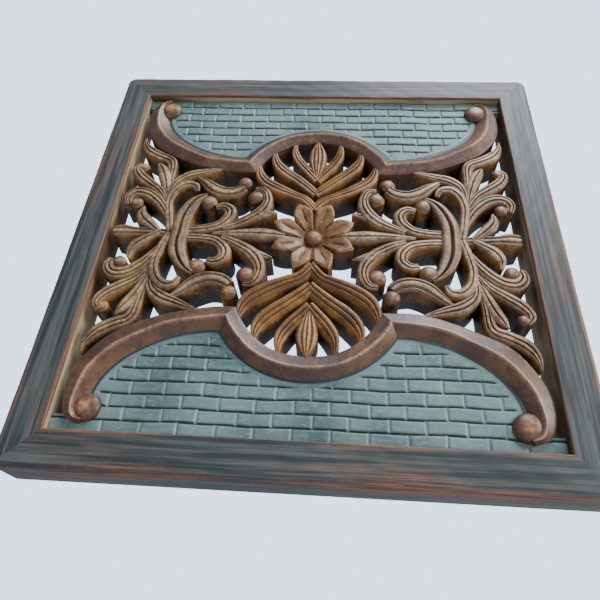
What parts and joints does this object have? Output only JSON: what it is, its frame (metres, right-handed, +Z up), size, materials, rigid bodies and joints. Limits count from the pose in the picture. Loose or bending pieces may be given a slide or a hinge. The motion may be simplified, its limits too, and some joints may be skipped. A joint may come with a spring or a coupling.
{
  "type": "carved wall panel",
  "caption": "Square openwork wall panel carved with scrolls, leaves, a flower and fields of small bricks, in a flat mitred frame.",
  "frame": {"origin": "centre of the back face, behind the middle of the flower, on the wall's plane", "axes": "+Z up the wall, +X to the right seen from the front, -Y out of the carved face towards the room; the back face lies in the plane Y = 0"},
  "size_m": [0.3048, 0.022, 0.3048],
  "materials": {
    "carved_wood": "carved wood with dark waxed hollows and rubbed tops, and blue-grey painted bricks",
    "painted_wood": "slate blue-grey paint brushed along the grain and rubbed through to reddish brown"
  },
  "bodies": {
    "root": {"carved_board": "carved_wood", "top_rail": "painted_wood", "left_rail": "painted_wood", "bottom_rail": "painted_wood", "right_rail": "painted_wood"}
  },
  "joints": []
}
